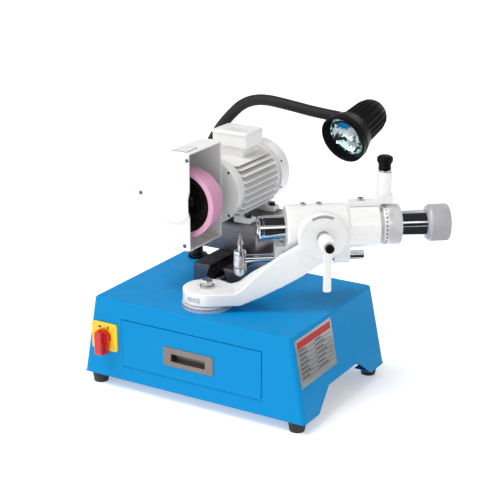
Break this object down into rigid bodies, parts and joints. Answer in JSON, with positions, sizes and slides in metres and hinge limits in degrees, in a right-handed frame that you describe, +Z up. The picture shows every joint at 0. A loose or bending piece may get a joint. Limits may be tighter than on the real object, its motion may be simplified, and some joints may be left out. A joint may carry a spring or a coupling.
{
  "type": "drill bit sharpener",
  "caption": "Bench drill bit sharpener with a cup wheel on a feed slide, a swivel arm with an indexing work spindle, a finger rest, a gooseneck lamp and a cabinet with a drawer.",
  "frame": {"origin": "on the floor, at the centre of the rectangle of the four feet and their bench bolt holes", "axes": "+X to the user's right along the wide front, +Y to the back, +Z up"},
  "size_m": [0.58, 0.4384, 0.4929],
  "materials": {
    "blue_paint": "gloss powder coat",
    "white_paint": "gloss enamel on cast iron",
    "white_motor": "white enamel on cast aluminium",
    "white_cover": "gloss enamel on sheet steel",
    "black_rubber": "matt moulded rubber",
    "neck_rubber": "matt ribbed sleeve",
    "black_plastic": "satin moulded",
    "yellow_plastic": "gloss moulded",
    "red_plastic": "gloss moulded",
    "plate_aluminium": "printed aluminium plate",
    "pull_steel": "dark satin steel",
    "zinc_steel": "zinc plated",
    "polished_steel": "turned and polished",
    "chrome_steel": "ground and chromed",
    "black_steel": "black oxide",
    "core_steel": "laminated steel",
    "grey_knurl": "knurled and anodised",
    "ground_iron": "ground and oiled",
    "bronze": "cast bronze",
    "pink_abrasive": "bonded abrasive, fine grain",
    "lamp_glass": "faceted reflector"
  },
  "bodies": {
    "cabinet": {"cabinet_shell": "blue_paint", "rubber_feet": "black_rubber", "drawer_runners": "zinc_steel", "switch_plate": "yellow_plastic", "switch_body": "black_plastic", "nameplate": "plate_aluminium", "mains_gland": "black_plastic", "swivel_scale_ring": "polished_steel", "swivel_bolt": "zinc_steel", "slide_base": "ground_iron", "screw_bearing_plate": "ground_iron", "lamp_base": "black_plastic", "gooseneck": "neck_rubber"},
    "drawer": {"drawer_tray": "zinc_steel", "drawer_front": "blue_paint", "drawer_pull": "pull_steel"},
    "main_switch": {"switch_knob": "red_plastic"},
    "motor_carriage": {"slide_table": "ground_iron", "slide_gib": "ground_iron", "feed_nut": "bronze", "motor_plate": "ground_iron", "motor_foot_bolts": "black_steel", "motor_housing": "white_motor", "front_endshield": "white_motor", "rear_endshield": "white_motor", "fan_cover": "white_cover", "terminal_box": "white_cover", "terminal_box_lid": "white_cover", "stator_core": "core_steel", "motor_bearings": "polished_steel", "guard_drum": "white_cover", "guard_cover": "white_cover"},
    "wheel_spindle": {"rotor": "zinc_steel", "cooling_fan": "black_plastic", "wheel_hub": "black_steel", "grinding_wheel": "pink_abrasive", "wheel_nut": "black_steel"},
    "feed": {"feed_screw": "zinc_steel", "feed_handwheel": "black_plastic"},
    "arm": {"swivel_arm": "white_paint"},
    "head": {"spindle_head": "white_paint", "head_screws": "zinc_steel", "index_bracket": "white_paint", "plunger_housing": "white_paint", "plunger_spring": "zinc_steel", "tilt_stud": "polished_steel", "lever_cap_screw": "black_steel"},
    "lever": {"clamp_lever": "white_paint"},
    "plunger": {"index_plunger": "black_plastic"},
    "ring": {"index_ring": "polished_steel"},
    "work_spindle": {"spindle_sleeve": "chrome_steel", "nose_collet": "chrome_steel"},
    "drawbar": {"drawbar_knob": "grey_knurl"},
    "finger_rest": {"finger_rod": "chrome_steel", "finger_block": "polished_steel", "finger_pointer": "polished_steel", "finger_nut": "zinc_steel"},
    "lamp": {"lamp_body": "black_plastic", "lamp_bezel": "black_plastic", "halogen_lamp": "lamp_glass"}
  },
  "joints": [
    {"name": "drawer_slide", "type": "slide", "parent": "cabinet", "child": "drawer", "axis": [0, -1, 0], "range_m": [0, 0.2]},
    {"name": "switch_turn", "type": "hinge", "parent": "cabinet", "child": "main_switch", "pos_m": [-0.178, -0.155, 0.098], "axis": [0, -1, 0], "range_deg": [0, 90]},
    {"name": "feed_slide", "type": "slide", "parent": "cabinet", "child": "motor_carriage", "axis": [0, 1, 0], "range_m": [-0.028, 0.008]},
    {"name": "feed_turn", "type": "hinge", "parent": "cabinet", "child": "feed", "pos_m": [-0.024, 0.185, 0.188], "axis": [0, 1, 0], "range_deg": [-2520, 720]},
    {"name": "wheel_spin", "type": "hinge", "parent": "motor_carriage", "child": "wheel_spindle", "pos_m": [-0.07, 0, 0.337], "axis": [0, 1, 0], "continuous": true},
    {"name": "arm_swivel", "type": "hinge", "parent": "cabinet", "child": "arm", "pos_m": [-0.003, -0.09, 0.19], "axis": [0, 0, 1], "range_deg": [-60, 4]},
    {"name": "head_tilt", "type": "hinge", "parent": "arm", "child": "head", "pos_m": [0.18042, -0.01186, 0.306], "axis": [-0.6101, 0.7923, 0], "range_deg": [0, 12]},
    {"name": "lever_turn", "type": "hinge", "parent": "head", "child": "lever", "pos_m": [0.20849, -0.0483, 0.306], "axis": [0.6101, -0.7923, 0], "range_deg": [-45, 60]},
    {"name": "plunger_lift", "type": "slide", "parent": "head", "child": "plunger", "axis": [0, 0, 1], "range_m": [0, 0.008], "stiffness_N_per_m": 900, "springref_m": -0.004},
    {"name": "ring_turn", "type": "hinge", "parent": "head", "child": "ring", "pos_m": [0.25053, 0.10525, 0.306], "axis": [0.7923, 0.6101, 0], "continuous": true},
    {"name": "spindle_slide", "type": "slide", "parent": "ring", "child": "work_spindle", "axis": [-0.7923, -0.6101, 0], "range_m": [-0.02, 0.018]},
    {"name": "drawbar_turn", "type": "hinge", "parent": "work_spindle", "child": "drawbar", "pos_m": [0.31392, 0.15406, 0.306], "axis": [0.7923, 0.6101, 0], "continuous": true},
    {"name": "rod_slide", "type": "slide", "parent": "head", "child": "finger_rest", "axis": [-0.7923, -0.6101, 0], "range_m": [0, 0.02]},
    {"name": "lamp_turn", "type": "hinge", "parent": "cabinet", "child": "lamp", "pos_m": [0.105, 0.196, 0.461], "axis": [0.9862, 0.1376, -0.0917], "range_deg": [-15, 15]}
  ],
  "couplings": [
    {"joint": "feed_turn", "follows": "feed_slide", "rad_per_m": 1570.8}
  ]
}
